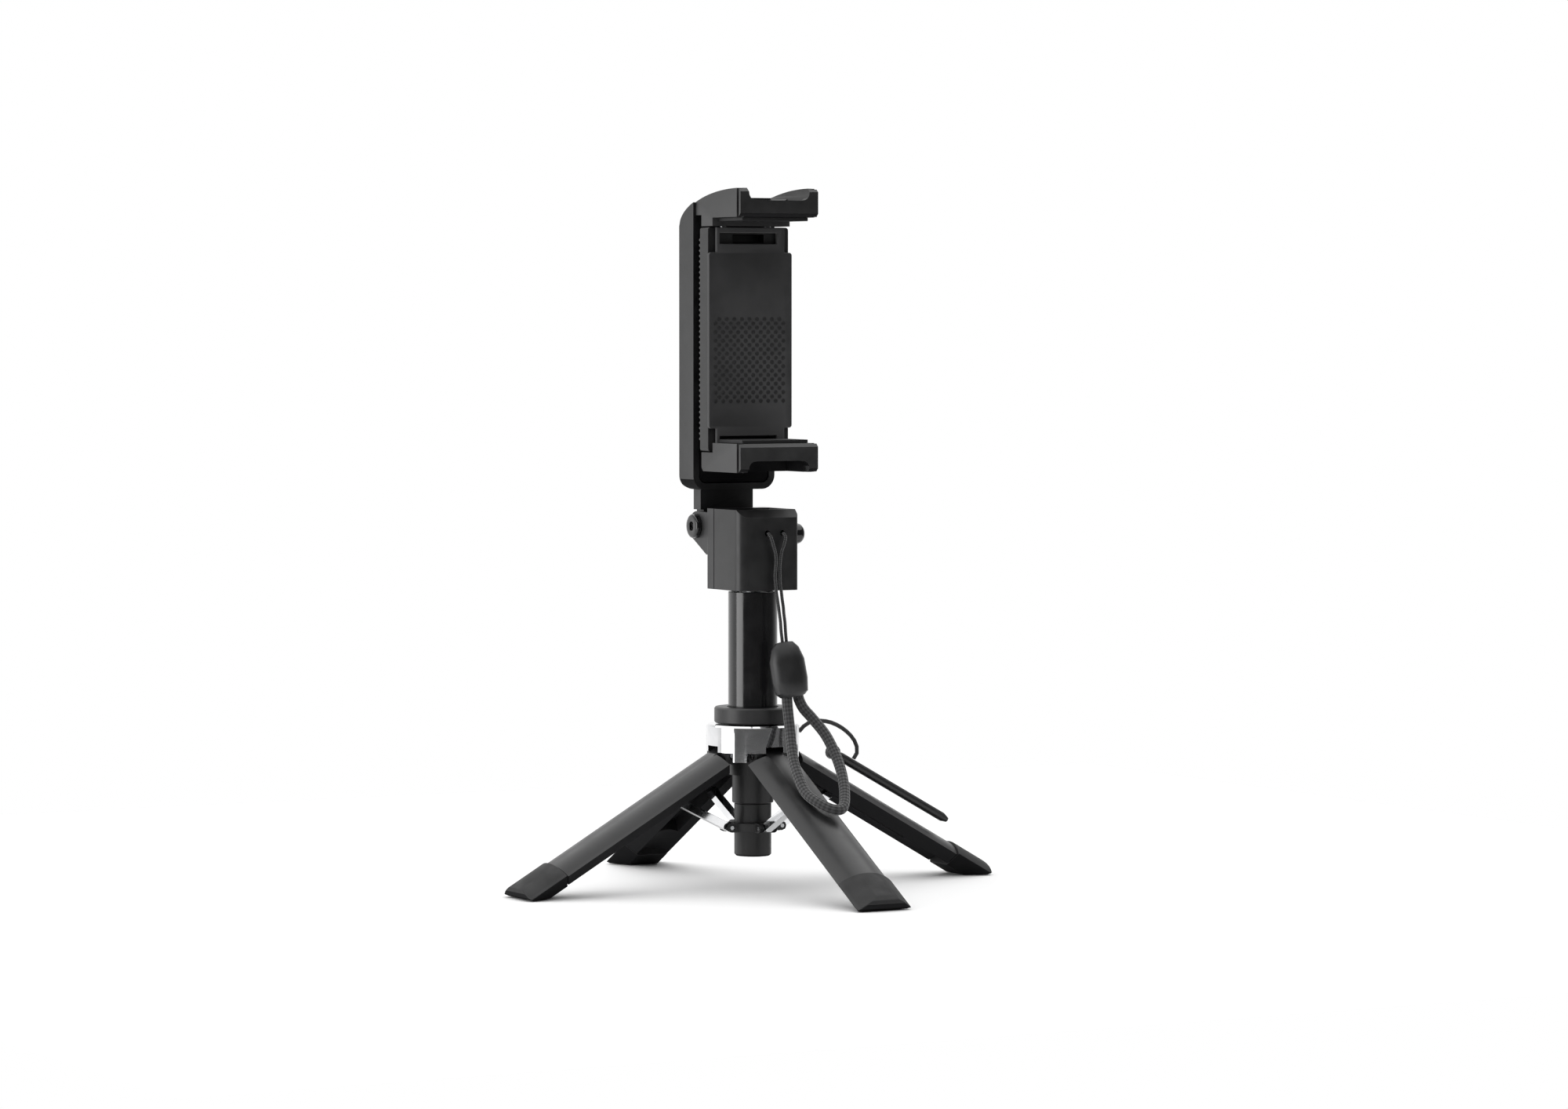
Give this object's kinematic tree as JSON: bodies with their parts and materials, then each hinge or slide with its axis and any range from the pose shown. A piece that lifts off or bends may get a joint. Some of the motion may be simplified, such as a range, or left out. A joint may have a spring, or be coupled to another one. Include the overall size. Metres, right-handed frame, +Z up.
{
  "type": "selfie stick",
  "caption": "Pocket selfie stick: sprung phone clamp on a folding arm, telescopic pole with a side shutter button, folding legs and a wrist strap.",
  "frame": {"origin": "on the pole's axis, at the floor under the open feet", "axes": "+Z up along the pole; -Y towards the phone's screen side; the legs point along +X, -X, +Y and -Y"},
  "size_m": [0.1484, 0.1484, 0.1946],
  "materials": {
    "shell": "satin moulded",
    "gloss": "polished",
    "rubber": "fine matt",
    "silver": "bright satin",
    "steel": "drawn",
    "cord": "braided",
    "board": "solder mask"
  },
  "bodies": {
    "base": {"hub_shell": "silver", "centre_post": "shell", "hub_collar": "shell", "outer_tube": "gloss", "leg_pin_right": "steel", "leg_pin_back": "steel", "leg_pin_left": "steel", "leg_pin_front": "steel", "tether_wire": "cord", "tether_pin": "shell"},
    "spreader": {"spreader_sleeve": "shell", "strut_pin_right": "steel", "strut_pin_back": "steel", "strut_pin_left": "steel", "strut_pin_front": "steel"},
    "right_leg": {"leg_right": "shell", "foot_right": "rubber"},
    "back_leg": {"leg_back": "shell", "foot_back": "rubber"},
    "left_leg": {"leg_left": "shell", "foot_left": "rubber"},
    "front_leg": {"leg_front": "shell", "foot_front": "rubber"},
    "right_strut": {"strut_right": "silver"},
    "back_strut": {"strut_back": "silver"},
    "left_strut": {"strut_left": "silver"},
    "front_strut": {"strut_front": "silver"},
    "section_1": {"pole_section_1": "steel"},
    "section_2": {"pole_section_2": "steel"},
    "section_3": {"pole_section_3": "steel"},
    "section_4": {"pole_section_4": "steel"},
    "head": {"pole_section_5": "steel", "head_front_shell": "shell", "head_rear_shell": "shell", "pole_socket": "shell", "remote_board": "board", "coin_cell": "steel", "hinge_pin": "steel", "hinge_cap_left": "gloss", "hinge_cap_right": "gloss", "strap_string_left": "cord", "strap_string_right": "cord", "strap_bead": "shell", "strap_loop": "cord"},
    "button": {"shutter_button": "gloss"},
    "arm": {"arm_shell": "shell", "arm_plate": "shell"},
    "clamp": {"clamp_frame": "shell", "swivel_boss": "shell", "swivel_nut": "steel", "front_panel": "shell", "lower_jaw": "shell", "lower_pad": "rubber", "clamp_spring_left": "steel", "clamp_spring_right": "steel"},
    "jaw": {"upper_jaw": "shell", "upper_pad": "rubber", "guide_rod_left": "steel", "guide_rod_right": "steel"}
  },
  "joints": [
    {"name": "front_leg_fold", "type": "hinge", "parent": "base", "child": "front_leg", "pos_m": [0, -0.0092, 0.037], "axis": [1, 0, 0], "range_deg": [0, 60.4]},
    {"name": "right_leg_fold", "type": "hinge", "parent": "base", "child": "right_leg", "pos_m": [0.0092, 0, 0.037], "axis": [0, 1, 0], "range_deg": [0, 60.4]},
    {"name": "back_leg_fold", "type": "hinge", "parent": "base", "child": "back_leg", "pos_m": [0, 0.0092, 0.037], "axis": [-1, 0, 0], "range_deg": [0, 60.4]},
    {"name": "left_leg_fold", "type": "hinge", "parent": "base", "child": "left_leg", "pos_m": [-0.0092, 0, 0.037], "axis": [0, -1, 0], "range_deg": [0, 60.4]},
    {"name": "spreader_slide", "type": "slide", "parent": "base", "child": "spreader", "axis": [0, 0, -1], "range_m": [0, 0.02152]},
    {"name": "right_strut_fold", "type": "hinge", "parent": "spreader", "child": "right_strut", "pos_m": [0.008, 0, 0.0166], "axis": [0, -1, 0], "range_deg": [0, 64.4]},
    {"name": "back_strut_fold", "type": "hinge", "parent": "spreader", "child": "back_strut", "pos_m": [0, 0.008, 0.0166], "axis": [1, 0, 0], "range_deg": [0, 64.4]},
    {"name": "left_strut_fold", "type": "hinge", "parent": "spreader", "child": "left_strut", "pos_m": [-0.008, 0, 0.0166], "axis": [0, 1, 0], "range_deg": [0, 64.4]},
    {"name": "front_strut_fold", "type": "hinge", "parent": "spreader", "child": "front_strut", "pos_m": [0, -0.008, 0.0166], "axis": [-1, 0, 0], "range_deg": [0, 64.4]},
    {"name": "pole_slide_1", "type": "slide", "parent": "base", "child": "section_1", "axis": [0, 0, 1], "range_m": [0, 0.025]},
    {"name": "pole_slide_2", "type": "slide", "parent": "section_1", "child": "section_2", "axis": [0, 0, 1], "range_m": [0, 0.025]},
    {"name": "pole_slide_3", "type": "slide", "parent": "section_2", "child": "section_3", "axis": [0, 0, 1], "range_m": [0, 0.06]},
    {"name": "pole_slide_4", "type": "slide", "parent": "section_3", "child": "section_4", "axis": [0, 0, 1], "range_m": [0, 0.06]},
    {"name": "pole_slide_5", "type": "slide", "parent": "section_4", "child": "head", "axis": [0, 0, 1], "range_m": [0, 0.06]},
    {"name": "shutter_press", "type": "slide", "parent": "head", "child": "button", "axis": [-1, 0, 0], "range_m": [0, 0.0008], "stiffness_N_per_m": 800, "springref_m": -0.0005},
    {"name": "arm_fold", "type": "hinge", "parent": "head", "child": "arm", "pos_m": [0, 0.016, 0.1003], "axis": [-1, 0, 0], "range_deg": [0, 135]},
    {"name": "clamp_swivel", "type": "hinge", "parent": "arm", "child": "clamp", "pos_m": [0, 0.0075, 0.1525], "axis": [0, -1, 0], "range_deg": [-90, 90]},
    {"name": "jaw_slide", "type": "slide", "parent": "clamp", "child": "jaw", "axis": [0, 0, 1], "range_m": [0, 0.027], "stiffness_N_per_m": 220, "springref_m": -0.01, "deforming": ["clamp_spring_left", "clamp_spring_right"]}
  ],
  "couplings": [
    {"joint": "right_leg_fold", "follows": "front_leg_fold", "ratio": 1},
    {"joint": "back_leg_fold", "follows": "front_leg_fold", "ratio": 1},
    {"joint": "left_leg_fold", "follows": "front_leg_fold", "ratio": 1},
    {"joint": "spreader_slide", "follows": "front_leg_fold", "m_per_rad": 0.020395},
    {"joint": "right_strut_fold", "follows": "front_leg_fold", "ratio": 1.0646},
    {"joint": "back_strut_fold", "follows": "front_leg_fold", "ratio": 1.0646},
    {"joint": "left_strut_fold", "follows": "front_leg_fold", "ratio": 1.0646},
    {"joint": "front_strut_fold", "follows": "front_leg_fold", "ratio": 1.0646}
  ]
}
